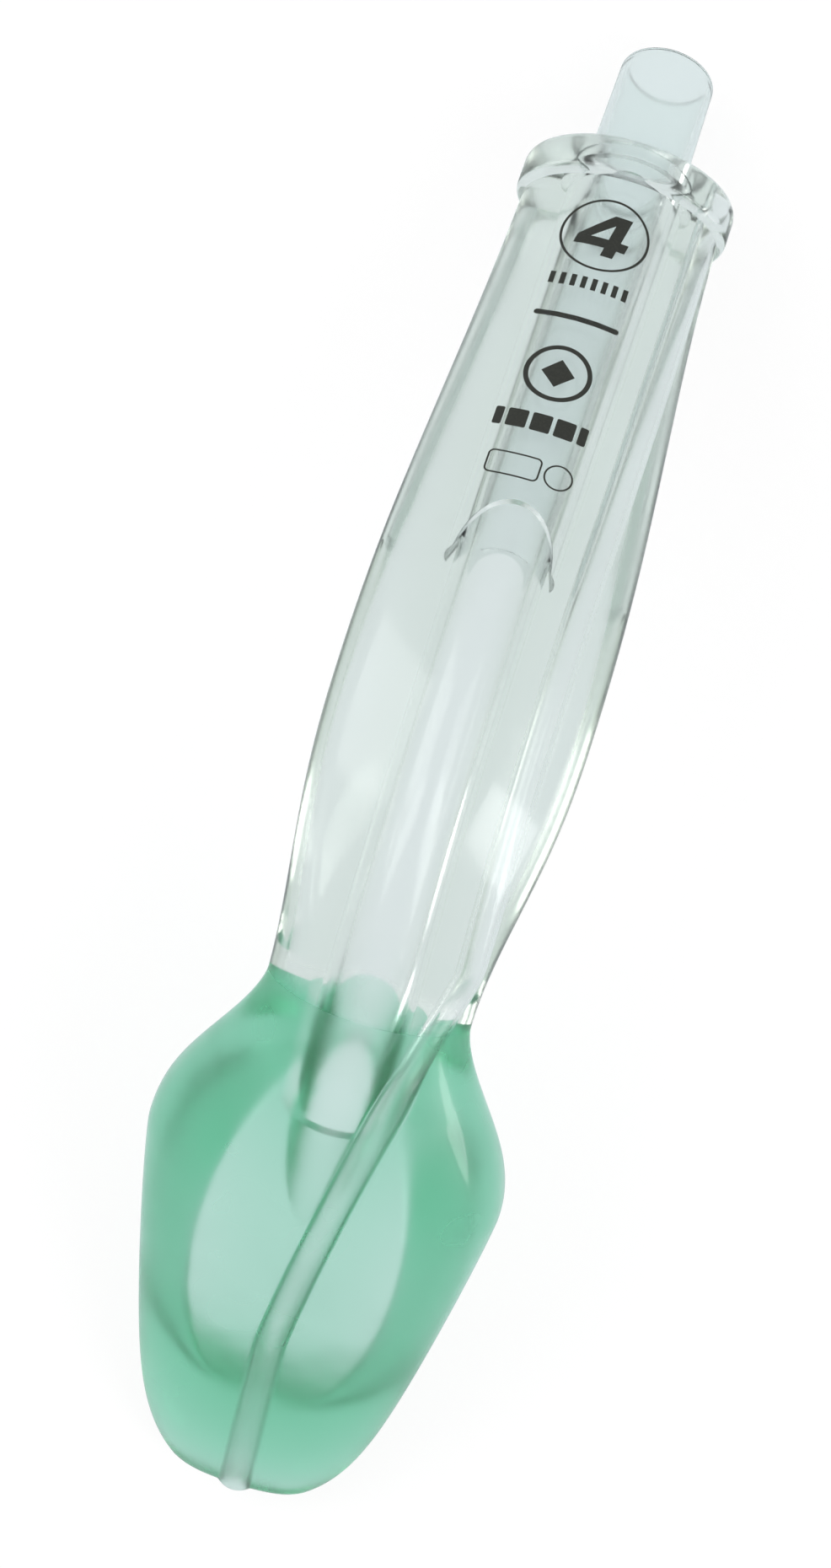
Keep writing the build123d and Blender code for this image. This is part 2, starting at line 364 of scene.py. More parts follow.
@dataclass(frozen=True)
class Gel:
    """Styrenic gel, injection moulded: it bends what is seen through it and tints it by its thickness.

    Its skin is left out where a mesh's bonded faces lie against another moulding, so that the eye looks
    through the bond without a gleam. The ripples are the slow waves of a soft moulding, with their size
    in millimetres, and the skin is a little more or less matt with them.
    """

    name: str
    tint: str
    tint_length: float
    skin_tint: str
    roughness: float
    unevenness: float
    ior: float
    ripple: float
    ripple_size: float
    gloss: float
    gloss_roughness: float = 0.08
    noise_span: Pair = (0.35, 0.65)

    def make(self) -> Material:
        """Build the material: a refracting skin over an absorbing inside."""
        material, add = blank_material(self.name)
        place = add("ShaderNodeTexCoord").outputs["Object"]
        size = 1 / (self.ripple_size * MM)
        waves = add("ShaderNodeTexNoise", Vector=place, Scale=size, Detail=2.0).outputs["Fac"]
        low, high = self.noise_span
        clouds = add(
            "ShaderNodeMapRange",
            Value=waves,
            From_Min=low,
            From_Max=high,
            To_Min=self.roughness - self.unevenness,
            To_Max=self.roughness + self.unevenness,
        )
        bump = add("ShaderNodeBump", Strength=self.ripple, Distance=1 * MM, Height=waves)
        bonded = add("ShaderNodeAttribute", {"attribute_name": BONDED}).outputs["Fac"]
        free = add("ShaderNodeMath", {"operation": "SUBTRACT"}, n0=1.0, n1=bonded)
        skin = add(
            "ShaderNodeBsdfPrincipled",
            Base_Color=linear(self.skin_tint),
            Roughness=clouds.outputs["Result"],
            IOR=self.ior,
            Transmission_Weight=1.0,
            Coat_Weight=self.gloss,
            Coat_Roughness=self.gloss_roughness,
            Alpha=free.outputs[0],
            Normal=bump.outputs["Normal"],
        )
        colour, density = absorption(self.tint, self.tint_length)
        inside = add("ShaderNodeVolumeAbsorption", Color=colour, Density=density)
        add("ShaderNodeOutputMaterial", Surface=skin.outputs[0], Volume=inside.outputs[0])
        return material


# Clear gel: glossy and see-through. The channel and the lumen show in it as soft lines, and thick walls
# turn faintly grey-green. Its IOR is set low, because bores this close together look too hard otherwise.
CLEAR_GEL = Gel(
    name="styrenic_gel_clear_moulded",
    tint="#f0f4ee",
    tint_length=19.0,
    skin_tint="#ffffff",
    roughness=0.14,
    unevenness=0.05,
    ior=1.36,
    ripple=0.05,
    ripple_size=14.0,
    gloss=0.1,
)

# Mint gel: dyed, with a fine matt skin under a thin gloss. What lies behind it blurs to pale and deep
# green clouds, paler where the bowl leaves a thin wall.
MINT_GEL = Gel(
    name="styrenic_gel_mint_moulded",
    tint="#86dab6",
    tint_length=20.0,
    skin_tint="#f0fbf6",
    roughness=0.34,
    unevenness=0.08,
    ior=1.4,
    ripple=0.6,
    ripple_size=16.0,
    gloss=0.5,
)


@dataclass(frozen=True)
class MilkyPolypropylene:
    """Natural polypropylene, injection moulded: smooth and a little milky; edges behind it blur."""

    name: str = "polypropylene_natural_moulded"
    colour: str = "#f8fcfb"
    roughness: float = 0.15
    ior: float = 1.3
    clearness: float = 0.95

    def make(self) -> Material:
        """Build the material."""
        material, add = blank_material(self.name)
        skin = add(
            "ShaderNodeBsdfPrincipled",
            Base_Color=linear(self.colour),
            Roughness=self.roughness,
            IOR=self.ior,
            Transmission_Weight=self.clearness,
        )
        add("ShaderNodeOutputMaterial", Surface=skin.outputs[0])
        return material


@dataclass(frozen=True)
class Outline:
    """One outline across the centre line, in millimetres.

    A power of 1 gives half ellipses, a lower one a squarer outline and a higher one thinner edges.
    """

    half_width: float
    back: float
    keel: float
    middle: float = 0.0
    shift: float = 0.0
    power: float = 1.0
    keel_power: float | None = None

    def points(self, count: int) -> Array:
        """Points of the outline, from the +x side round by the back."""
        c, s = unit_circle(count)
        keel_power = self.power if self.keel_power is None else self.keel_power
        power = np.where(s > 0, self.power, keel_power)
        depth = np.where(s > 0, self.back - self.middle, self.keel + self.middle)
        x = self.shift + self.half_width * np.sign(c) * np.abs(c) ** np.minimum(power, 1.0)
        y = self.middle + depth * np.sign(s) * np.abs(s) ** power
        return np.column_stack([x, y])

    def back_at(self, x: float) -> float:
        """Height of the back at a lateral place."""
        side = min(abs(x - self.shift) / self.half_width, 1.0) ** (1 / min(self.power, 1.0))
        return self.middle + (self.back - self.middle) * math.sqrt(1 - side**2) ** self.power


@dataclass
class Stem:
    """Clear airway body: collar, oval stem and the stub inside the cuff, in millimetres.

    The retainer is its radius and the stations where it begins and ends, and the collar is its half
    width, half depth and height. The slacks say how far a bonded face may lie off its place.
    """

    line: CentreLine
    lumen_line: CentreLine
    gel: Gel = CLEAR_GEL
    lumen_radius: float = 6.15
    sleeve_radius: float = 7.55
    sleeve_end: float = 75.5
    sleeve_arch: float = 8.0
    retainer: tuple[float, float, float] = (8.7, 2.6, 4.6)
    collar: tuple[float, float, float] = (16.7, 11.6, 7.2)
    collar_round: float = 1.8
    collar_under_round: float = 1.2
    top_half_width: float = 15.4
    middle_half_width: float = 19.2
    middle_station: float = 92.0
    half_depth: float = 9.6
    side_shift: float = 0.9
    edge_thinning: float = 1.2
    narrowing_power: int = 3
    neck_beyond_bend: float = 6.7
    neck_half_width: float = 15.4
    neck_half_depth: float = 9.4
    stub_radius: float = 7.7
    stub_length: float = 19.0
    outlet_reach: float = 38.0
    channel_radius: float = 2.1
    channel_side: float = 12.0
    end_slack: float = 0.02
    bond_slack: float = 0.05
    sides: int = 160
    step: float = 1.2

    @property
    def neck(self) -> float:
        """Station of the neck, where the cuff begins."""
        return self.line.bend_end + self.neck_beyond_bend

    @property
    def stub_end(self) -> float:
        """Station where the stub inside the cuff ends."""
        return self.neck + self.stub_length

    def outline(self, station: float) -> Outline:
        """Outline of the stem at a station."""
        if station <= self.middle_station:
            share = math.sin(math.pi / 2 * station / self.middle_station) ** 2
            start = self.top_half_width
        else:
            narrowing = (station - self.middle_station) / (self.neck - self.middle_station)
            share = 1 - math.sin(math.pi / 2 * narrowing) ** self.narrowing_power
            start = self.neck_half_width
        depth = self.half_depth + (self.neck_half_depth - self.half_depth) * station / self.neck
        width = between(start, self.middle_half_width, share)
        return Outline(width, depth, depth, shift=self.side_shift * share, power=self.edge_thinning)

    def collar_rings(self) -> list[tuple[float, Array]]:
        """Rings of the collar, with its top and under edges rounded."""
        half_width, half_depth, height = self.collar
        rings = []
        for turn in np.linspace(0, math.pi / 2, 6):
            inset = self.collar_round * (1 - math.sin(turn))
            rings.append((self.collar_round * (1 - math.cos(turn)), inset))
        for turn in np.linspace(0, math.pi / 2, 5):
            inset = self.collar_under_round * (1 - math.cos(turn))
            rings.append((height - self.collar_under_round * (1 - math.sin(turn)), inset))
        outlines = [Outline(half_width - i, half_depth - i, half_depth - i) for _, i in rings]
        return [(ring[0], outline.points(self.sides)) for ring, outline in zip(rings, outlines)]

    def skin(self) -> Object:
        """Outer skin of the airway body, closed at both ends."""
        rings = self.collar_rings()
        for station in spaced(self.collar[2], self.neck, self.step):
            rings.append((station, self.outline(station).points(self.sides)))
        c, s = unit_circle(self.sides)
        points = [self.line.place(st, p[:, 0], p[:, 1]) for st, p in rings]
        for station in spaced(self.neck, self.stub_end, self.step):
            points.append(self.lumen_line.place(station, self.stub_radius * c, self.stub_radius * s))
        return ring_object("airway_body_gel", points)

    def sleeve_ends(self, x: Array) -> Array:
        """Stations where the bite block ends, by lateral place: an arch between two legs."""
        half = (self.lumen_radius + self.sleeve_radius) / 2
        return self.sleeve_end - self.sleeve_arch * np.sqrt(np.clip(1 - (x / half) ** 2, 0, 1))

    def seat_and_lumen(self, clearance: float) -> Object:
        """Closed form that is cut out of the body: the connector's seat, then the bent lumen."""
        c, s = unit_circle(BORE_SIDES)
        wide, first, last = self.retainer
        radius = self.sleeve_radius + clearance
        rings = [
            (-OVERCUT, radius),
            (first - clearance, radius),
            (first - clearance, wide + clearance),
            (last + clearance, wide + clearance),
            (last + clearance, radius),
        ]
        apex = self.sleeve_end - self.sleeve_arch
        rings += [(station, radius) for station in spaced(last + 2, apex - 1, 4)]
        line = self.lumen_line
        points = [line.place(st, r * c, r * s, unbent=True) for st, r in rings]
        ends = self.sleeve_ends(self.sleeve_radius * c)
        points.append(line.place(ends, radius * c, radius * s, unbent=True))
        ends = self.sleeve_ends(self.lumen_radius * c)
        r = self.lumen_radius
        points.append(line.place(ends, r * c, r * s))
        after = self.sleeve_end + 2
        for share in np.linspace(0, 1, 8)[1:]:
            points.append(line.place(ends + (after - ends) * share, r * c, r * s))
        for station in spaced(after, self.neck + self.outlet_reach, BORE_STEP)[1:]:
            points.append(line.place(station, r * c, r * s))
        return ring_object("seat_and_lumen", points)

    def past_neck(self, points: Array) -> tuple[Array, Array]:
        """Measure points against the neck and the lumen inside the cuff.

        Args:
            points: points in metres, one row each.

        Returns:
            Millimetres past the neck's plane, and away from the lumen's centre line near the stub.
        """
        neck = self.line.place(self.neck, 0.0, 0.0)
        ahead = self.line.place(self.neck + 0.01, 0.0, 0.0) - neck
        past = (points - neck) @ (ahead / np.linalg.norm(ahead)) / MM
        beyond, spacing, batch = 3.0, 0.25, 2000
        middle = self.lumen_line.place(np.arange(self.neck, self.stub_end + beyond, spacing), 0.0, 0.0)
        away = np.full(len(points), np.inf)
        near = np.flatnonzero((past > -1) & (past < self.stub_length + beyond))
        for first in range(0, len(near), batch):
            some = near[first : first + batch]
            away[some] = np.linalg.norm(points[some][:, None] - middle[None], axis=2).min(axis=1) / MM
        return past, away

    def bonded_end(self, points: Array) -> Array:
        """Tell which points of the body lie on its end at the neck or on the stub inside the cuff."""
        past, away = self.past_neck(points)
        return (past > -self.end_slack) & (away > self.lumen_radius + 2 * self.bond_slack)

    def bonded_socket(self, points: Array) -> Array:
        """Tell which points of the cuff lie on its end at the neck or in the stub's socket."""
        past, away = self.past_neck(points)
        slack = self.bond_slack
        socket = (away > self.lumen_radius + 2 * slack) & (away < self.stub_radius + 3 * slack)
        return (past < slack) | (socket & (past < self.stub_length + 6 * slack))

    def lumen(self, start: float, radius: float, end: float) -> Object:
        """Closed round form along the lumen between two stations."""
        c, s = unit_circle(BORE_SIDES)
        stations = spaced(start, end, BORE_STEP)
        points = [self.lumen_line.place(station, radius * c, radius * s) for station in stations]
        return ring_object("lumen", points)


@dataclass
class Cuff:
    """Mint gel cuff: a soft bowl with the gastric channel's ridge over its back, in millimetres."""

    stem: Stem
    gel: Gel = MINT_GEL
    flare_length: float = 32.0
    length: float = 94.5
    half_width: float = 27.4
    back_height: float = 9.0
    keel_depth: float = 15.0
    rim_drop: float = 5.0
    squareness: float = 0.8
    flare_power: float = 1.5
    narrowing: float = 0.4
    narrowing_power: float = 1.15
    tip_half_width: float = 8.0
    tip_back: float = 3.4
    chin_depth: float = 7.0
    tip_keel: float = 2.6
    tip_squareness: float = 0.5
    tip_roundness: float = 0.35
    corner_power: float = 8.0
    chin_power: float = 16.0
    bowl_half_width: float = 18.5
    bowl_neck_gap: float = 10.0
    bowl_tip_gap: float = 15.5
    bowl_roof: float = 3.0
    bowl_end_drop: float = 11.0
    bowl_end_reach: float = 1.6
    channel_wall: float = 0.8
    channel_leave_before_bend_end: float = 2.0
    channel_climb_end: float = 13.0
    channel_centred_gap: float = 35.5
    crossing_power: float = 1.25
    channel_proud: float = 1.4
    ridge_blend: float = 0.9
    bowl_wall: float = 8.0
    edge_round: float = 2.6
    end_flattening: float = 0.9
    fine_sides: int = 1440
    sides: int = 300
    step: float = 0.6

    @property
    def widest(self) -> float:
        """Station of the cuff's widest place."""
        return self.stem.neck + self.flare_length

    @property
    def tip(self) -> float:
        """Station of the cuff's tip."""
        return self.stem.neck + self.length

    def rounded(self, full: float, end: float, share: float, power: float) -> float:
        """Share of a full size that is left where the tip rounds it down to its end size."""
        bluntness = 1 - (end / full) ** (1 / self.tip_roundness)
        return (1 - bluntness * share**power) ** self.tip_roundness

    def outline(self, station: float) -> Outline:
        """Outline of the cuff at a station, without its bowl and ridge."""
        if station <= self.widest:
            neck = self.stem.outline(self.stem.neck)
            share = max((station - self.stem.neck) / self.flare_length, 0)
            flare = math.sin(math.pi / 2 * share) ** self.flare_power
            return Outline(
                between(neck.half_width, self.half_width, flare),
                between(neck.back, self.back_height, share),
                between(neck.keel, self.keel_depth, flare),
                middle=-self.rim_drop * flare,
                power=between(neck.power, self.squareness, flare),
            )
        share = min((station - self.widest) / (self.tip - self.widest), 1.0)
        shoulder = self.half_width * (1 - self.narrowing)
        width = self.half_width * (1 - self.narrowing * share**self.narrowing_power)
        keel = between(self.keel_depth, self.chin_depth, share**2)
        return Outline(
            width * self.rounded(shoulder, self.tip_half_width, share, self.corner_power),
            between(self.back_height, self.tip_back, share**2),
            keel * self.rounded(self.chin_depth, self.tip_keel, share, self.chin_power),
            middle=-self.rim_drop * math.sqrt(1 - share),
            power=self.squareness,
            keel_power=between(self.squareness, self.tip_squareness, share),
        )

    def channel_at(self, station: float) -> Pair:
        """Lateral place and height of the gastric channel's centre."""
        leave = self.stem.line.bend_end - self.channel_leave_before_bend_end
        if station <= leave:
            return self.stem.channel_side, 0.0
        centred = self.tip - self.channel_centred_gap
        crossing = max(centred - station, 0) / (centred - leave)
        x = self.stem.channel_side * crossing**self.crossing_power
        section = self.outline(max(station, self.stem.neck))
        height = section.back_at(x) + self.channel_proud - self.stem.channel_radius - self.channel_wall
        climb = min((station - leave) / (self.stem.neck + self.channel_climb_end - leave), 1.0)
        return x, height * soft_step(climb)

    def bowl_roof_at(self, station: float, x: Array, keel: Array) -> Array:
        """Find the underside, which the bowl lifts above the keel with soft walls.

        Args:
            station: length along the centre line.
            x: lateral places.
            keel: heights of the keel there.

        Returns:
            Heights of the underside.
        """
        start = self.stem.neck + self.bowl_neck_gap
        share = (station - start) / (self.tip - self.bowl_tip_gap - start)
        if not 0 < share < 1:
            return keel
        round_off = math.sqrt(1 - (2 * share - 1) ** 2)
        half = self.bowl_half_width * round_off + self.bowl_wall / 2
        roof = self.bowl_roof - self.bowl_end_drop * (1 - round_off)
        inside = np.clip((half - np.abs(x)) / self.bowl_wall, 0, 1)
        end = min(round_off * self.bowl_end_reach, 1.0)
        return keel + (roof - keel) * soft_step(inside) * soft_step(end)

    def ring(self, station: float) -> Array:
        """One ring of the cuff, with the ridge, the bowl and the tip's rounding in it."""
        section = self.outline(station)
        points = section.points(self.fine_sides)
        x, y = points[:, 0].copy(), points[:, 1].copy()
        back = y > section.middle
        radius = self.stem.channel_radius + self.channel_wall
        cx, cy = self.channel_at(station)
        lift = np.sqrt(np.clip(radius**2 - (x - cx) ** 2, 0, None))
        ridge = np.where(np.abs(x - cx) < radius, cy + lift, FAR_BELOW)
        y[back] = smooth_max(ridge, y, self.ridge_blend)[back]
        y[~back] = self.bowl_roof_at(station, x[~back], y[~back])
        over = np.clip((station - (self.tip - self.edge_round)) / self.edge_round, 0, 1)
        inset = self.edge_round * (1 - math.sqrt(1 - over**2))
        centre = (section.back - section.keel) / 2
        x *= 1 - inset / max(section.half_width, inset + 0.1)
        y = centre + (y - centre) * (1 - self.end_flattening * inset / self.edge_round)
        return resampled(np.column_stack([x, y]), self.sides)

    def skin(self, gap: float) -> Object:
        """Outer skin of the cuff, closed at both ends, a hair behind the stem's end."""
        stations = spaced(self.stem.neck + gap, self.tip, self.step)
        rings = []
        for station in stations:
            p = self.ring(station)
            rings.append(self.stem.line.place(station, p[:, 0], p[:, 1]))
        return ring_object("cuff_gel", rings)

    def channel(self) -> Object:
        """Closed round form of the gastric channel, from the collar to the tip."""
        beyond_tip, spacing, sides = 1.5, 1.5, 40
        stations = np.concatenate([[-OVERCUT], spaced(0, self.tip + beyond_tip, spacing)])
        centres = [self.channel_at(min(s, self.tip)) for s in stations]
        middle = np.array([self.stem.line.place(s, *centre) for s, centre in zip(stations, centres)])
        ahead = np.gradient(middle, axis=0)
        ahead /= np.linalg.norm(ahead, axis=1)[:, None]
        side = np.tile([1.0, 0, 0], (len(stations), 1))
        side -= (side * ahead).sum(axis=1)[:, None] * ahead
        side /= np.linalg.norm(side, axis=1)[:, None]
        up = np.cross(ahead, side)
        c, s = unit_circle(sides)
        turned = c[:, None] * side[:, None] + s[:, None] * up[:, None]
        rings = middle[:, None] + self.stem.channel_radius * MM * turned
        return ring_object("gastric_channel", rings)


@dataclass
class Connector:
    """Milky connector: 15 mm cone, retaining ring and bite block."""

    stem: Stem
    plastic: MilkyPolypropylene = field(default_factory=MilkyPolypropylene)
    cone_length: float = 22.0
    cone_tip_radius: float = 7.5
    cone_base_radius: float = 7.775
    rim_chamfer: float = 0.3
    bore_lead_in: float = 0.2
    bore_stations: tuple[float, ...] = (50.0, 20.0, 0.0)
    sides: int = 128

    def make(self) -> Object:
        """Build the connector as one tube with a wall."""
        stem = self.stem
        c, s = unit_circle(self.sides)
        wide, first, last = stem.retainer
        outer = []
        for angle in np.linspace(math.pi / 2, 0, 4):
            station = -self.cone_length + self.rim_chamfer * (1 - math.sin(angle))
            outer.append((station, self.cone_tip_radius - self.rim_chamfer * (1 - math.cos(angle))))
        outer += [
            (0.0, self.cone_base_radius),
            (0.0, stem.sleeve_radius),
            (first, stem.sleeve_radius),
            (first, wide),
            (last, wide),
            (last, stem.sleeve_radius),
        ]
        place = partial(stem.line.place, unbent=True)
        points = [place(st, r * c, r * s) for st, r in outer]
        for r in (stem.sleeve_radius, stem.lumen_radius):
            points.append(place(stem.sleeve_ends(r * c), r * c, r * s))
        r = stem.lumen_radius
        for station in (*self.bore_stations, -self.cone_length + self.bore_lead_in):
            points.append(place(station, r * c, r * s))
        r += self.bore_lead_in
        points.append(place(-self.cone_length, r * c, r * s))
        return ring_object("connector_moulding", points, joined=True)


@dataclass(frozen=True)
class PadPrintInk:
    """Two-part ink, pad printed: an opaque olive black that lies on the gel with a soft gloss."""

    name: str = "pad_print_ink_olive_black"
    colour: str = "#15150a"
    worn: str = "#23231a"
    grain: float = 0.35
    noise_span: Pair = (0.45, 0.8)
    roughness: float = 0.55

    def make(self) -> Material:
        """Build the material: ink with slightly uneven cover."""
        material, add = blank_material(self.name)
        place = add("ShaderNodeTexCoord").outputs["Object"]
        specks = add("ShaderNodeTexNoise", Vector=place, Scale=1 / (self.grain * MM), Detail=3.0)
        low, high = self.noise_span
        cover = add("ShaderNodeMapRange", Value=specks.outputs["Fac"], From_Min=low, From_Max=high)
        colours = {"n6": linear(self.colour), "n7": linear(self.worn)}
        colour = add("ShaderNodeMix", {"data_type": "RGBA"}, n0=cover.outputs["Result"], **colours)
        ink = add("ShaderNodeBsdfPrincipled", Base_Color=colour.outputs[2], Roughness=self.roughness)
        add("ShaderNodeOutputMaterial", Surface=ink.outputs[0])
        return material


@dataclass
class PrintedMarks:
    """Plain marks printed on the stem's back: ringed numeral, ticks, guide line and bare fields.

    Flat places are lateral and by station, in millimetres.
    """

    stem: Stem
    ink: PadPrintInk = field(default_factory=PadPrintInk)
    ring_station: float = 18.3
    ring_radius: float = 6.8
    ring_line: float = 0.4
    numeral_height: float = 7.9
    numeral_slant: float = 0.16
    tick_station: float = 27.8
    tick_count: int = 8
    tick_pitch: float = 1.6
    tick_width: float = 0.8
    tick_height: float = 2.2
    guide_station: float = 34.6
    guide_half_length: float = 6.5
    guide_height: float = 0.95
    disc_station: float = 45.1
    disc_radius: float = 5.1
    disc_line: float = 0.75
    diamond_share: float = 0.5
    band_station: float = 54.4
    band_widths: tuple[float, ...] = (1.3, 3.0, 3.0, 3.0, 1.3)
    band_height: float = 3.2
    band_gap: float = 0.6
    band_corner: float = 0.3
    box_place: Pair = (-1.9, 62.6)
    box_half: Pair = (4.05, 2.1)
    box_corner: float = 0.9
    ring_place: Pair = (4.9, 62.7)
    small_ring: float = 2.2
    fine_line: float = 0.28
    side_place: float = -0.7
    lift: float = 0.03
    plane_height: float = 6.0
    levels: int = 2
    work: bmesh.types.BMesh | None = None

    def face(self, outline: list[Pair]) -> None:
        """Add one flat face, given by lateral places and stations."""
        self.work.faces.new([self.work.verts.new((x * MM, st * MM, 0)) for x, st in outline])

    def band(self, outer: list[Pair], inner: list[Pair]) -> None:
        """Add the strip between two outlines with as many points."""
        count = len(outer)
        rows = [[self.work.verts.new((x * MM, st * MM, 0)) for x, st in row] for row in (outer, inner)]
        for i in range(count):
            k = (i + 1) % count
            self.work.faces.new([rows[0][i], rows[0][k], rows[1][k], rows[1][i]])

    @staticmethod
    def circle(x: float, station: float, radius: float, count: int = 72) -> list[Pair]:
        """Points of a circle."""
        turns = [2 * math.pi * i / count for i in range(count)]
        return [(x + radius * math.cos(t), station + radius * math.sin(t)) for t in turns]

    def ring(self, x: float, station: float, radius: float, line: float) -> None:
        """Add a ring, given by its centre, outer radius and line."""
        self.band(self.circle(x, station, radius), self.circle(x, station, radius - line))

    @staticmethod
    def pill(
        x: float, station: float, half_x: float, half_s: float, corner: float
    ) -> list[Pair]:
        """Points of a rectangle with round corners, given by its centre and half sizes."""
        points = []
        for sx, ss, first in ((1, 1, 0), (-1, 1, 90), (-1, -1, 180), (1, -1, 270)):
            for step in range(7):
                turn = math.radians(first + 15 * step)
                px = x + sx * (half_x - corner) + corner * math.cos(turn)
                points.append((px, station + ss * (half_s - corner) + corner * math.sin(turn)))
        return points

    def numeral(self) -> None:
        """Draw a plain slanted 4 inside the ring, from strokes on a grid of 7 units."""
        unit = self.numeral_height / 7
        strokes = (
            ((0.7, -3.5), (2.4, -3.5), (2.4, 3.5), (0.7, 3.5)),
            ((-3.5, -2.1), (0.7, -2.1), (0.7, -0.6), (-3.5, -0.6)),
            ((2.4, -2.1), (3.5, -2.1), (3.5, -0.6), (2.4, -0.6)),
            ((-3.5, -0.6), (-1.7, -0.6), (0.7, 1.9), (0.7, 3.5), (0.0, 3.5)),
        )
        for stroke in strokes:
            self.face(
                [(unit * (u + self.numeral_slant * v), self.ring_station - unit * v) for u, v in stroke]
            )

    def flat_mesh(self) -> Mesh:
        """Draw every mark but the ticks, flat, with x lateral and y along the stations."""
        self.work = bmesh.new()
        self.ring(0, self.ring_station, self.ring_radius, self.ring_line)
        self.numeral()
        half = self.guide_height / 2
        self.face(self.pill(0, self.guide_station, self.guide_half_length, half, half * 0.98))
        st = self.disc_station
        self.ring(0, st, self.disc_radius, self.disc_line)
        reach = self.disc_radius * self.diamond_share
        self.face([(reach, st), (0, st + reach), (-reach, st), (0, st - reach)])
        gap, half = self.band_gap, self.band_height / 2
        x = -(sum(self.band_widths) + gap * (len(self.band_widths) - 1)) / 2
        for width in self.band_widths:
            self.face(self.pill(x + width / 2, self.band_station, width / 2, half, self.band_corner))
            x += width + gap
        half_x, half_s = self.box_half
        line, corner = self.fine_line, self.box_corner
        inner = self.pill(*self.box_place, half_x - line, half_s - line, corner - line)
        self.band(self.pill(*self.box_place, half_x, half_s, corner), inner)
        self.ring(*self.ring_place, self.small_ring, line)
        mesh = bpy.data.meshes.new("printed_marks")
        bmesh.ops.recalc_face_normals(self.work, faces=self.work.faces)
        self.work.to_mesh(mesh)
        self.work.free()
        return mesh

    def tree(self, kinds: dict[str, str]) -> NodeTree:
        """Geometry Nodes: a row of ticks, all marks cut fine and laid on the gel's skin.

        Args:
            kinds: the kind of socket for each input's name.

        Returns:
            The tree.
        """
        tree = bpy.data.node_groups.new("pad_print", "GeometryNodeTree")
        for label, kind in {"Geometry": "Geometry", **kinds}.items():
            tree.interface.new_socket(label, in_out="INPUT", socket_type="NodeSocket" + kind)
        tree.interface.new_socket("Geometry", in_out="OUTPUT", socket_type="NodeSocketGeometry")
        add = partial(node, tree)
        given = add("NodeGroupInput").outputs
        pitch = add("ShaderNodeCombineXYZ", X=given["Tick Pitch"])
        first = {"Count": given["Tick Count"], "Start_Location": given["Tick Start"]}
        row = add("GeometryNodeMeshLine", Offset=pitch.outputs[0], **first)
        size = {"Size_X": given["Tick Width"], "Size_Y": given["Tick Height"]}
        tick = add("GeometryNodeMeshGrid", Vertices_X=2, Vertices_Y=2, **size)
        ticks = add("GeometryNodeInstanceOnPoints", Points=row.outputs[0], Instance=tick.outputs[0])
        joined = add("GeometryNodeJoinGeometry", n0=ticks.outputs[0])
        tree.links.new(given["Geometry"], joined.inputs[0])
        real = add("GeometryNodeRealizeInstances", Geometry=joined.outputs[0])
        cut_up = add("GeometryNodeTriangulate", Mesh=real.outputs[0])
        fine = add("GeometryNodeSubdivideMesh", Mesh=cut_up.outputs[0], Level=self.levels)
        pose = {"Translation": given["Plane Place"], "Rotation": given["Plane Turn"]}
        above = add("GeometryNodeTransform", Geometry=fine.outputs[0], **pose)
        skin = add("GeometryNodeObjectInfo", {"transform_space": "RELATIVE"}, Object=given["Skin"])
        way = given["Print Direction"]
        target = skin.outputs["Geometry"]
        hit = add("GeometryNodeRaycast", Target_Geometry=target, Ray_Direction=way, Ray_Length=1.0)
        down = add("ShaderNodeMath", {"operation": "MULTIPLY"}, n0=given["Ink Lift"], n1=-1.0)
        back = add("ShaderNodeVectorMath", {"operation": "SCALE"}, Vector=way, Scale=down.outputs[0])
        place = add("ShaderNodeVectorMath", n0=hit.outputs["Hit Position"], n1=back.outputs[0])
        laid = add("GeometryNodeSetPosition", Geometry=above.outputs[0], Position=place.outputs[0])
        inked = add("GeometryNodeSetMaterial", Geometry=laid.outputs[0], Material=given["Ink"])
        add("NodeGroupOutput", n0=inked.outputs[0])
        return tree

    def make(self, skin: Object) -> Object:
        """Print the marks on a skin.

        Args:
            skin: the stem's finished piece.

        Returns:
            The printed marks as a plain mesh.
        """
        marks = new_object("printed_marks", self.flat_mesh())
        line = self.stem.line
        rise = math.radians(line.rise)
        back = Vector((0, math.sin(rise), math.cos(rise)))
        above = Vector(line.place(0.0, 0.0, self.stem.collar[1] + self.plane_height))
        start = -(self.tick_count - 1) * self.tick_pitch / 2
        inputs = {
            "Skin": ("Object", skin),
            "Ink": ("Material", self.ink.make()),
            "Tick Count": ("Int", self.tick_count),
            "Tick Pitch": ("Float", self.tick_pitch * MM),
            "Tick Width": ("Float", self.tick_width * MM),
            "Tick Height": ("Float", self.tick_height * MM),
            "Tick Start": ("Vector", (start * MM, self.tick_station * MM, 0)),
            "Plane Place": ("Vector", above + Vector((self.side_place * MM, 0, 0))),
            "Plane Turn": ("Vector", (math.pi - rise, 0, 0)),
            "Print Direction": ("Vector", -back),
            "Ink Lift": ("Float", self.lift * MM),
        }
        modifier = marks.modifiers.new("print", "NODES")
        modifier.node_group = self.tree({label: kind for label, (kind, _) in inputs.items()})
        for item in modifier.node_group.interface.items_tree:
            if item.name in inputs:
                modifier[item.identifier] = inputs[item.name][1]
        bake(marks)
        return marks


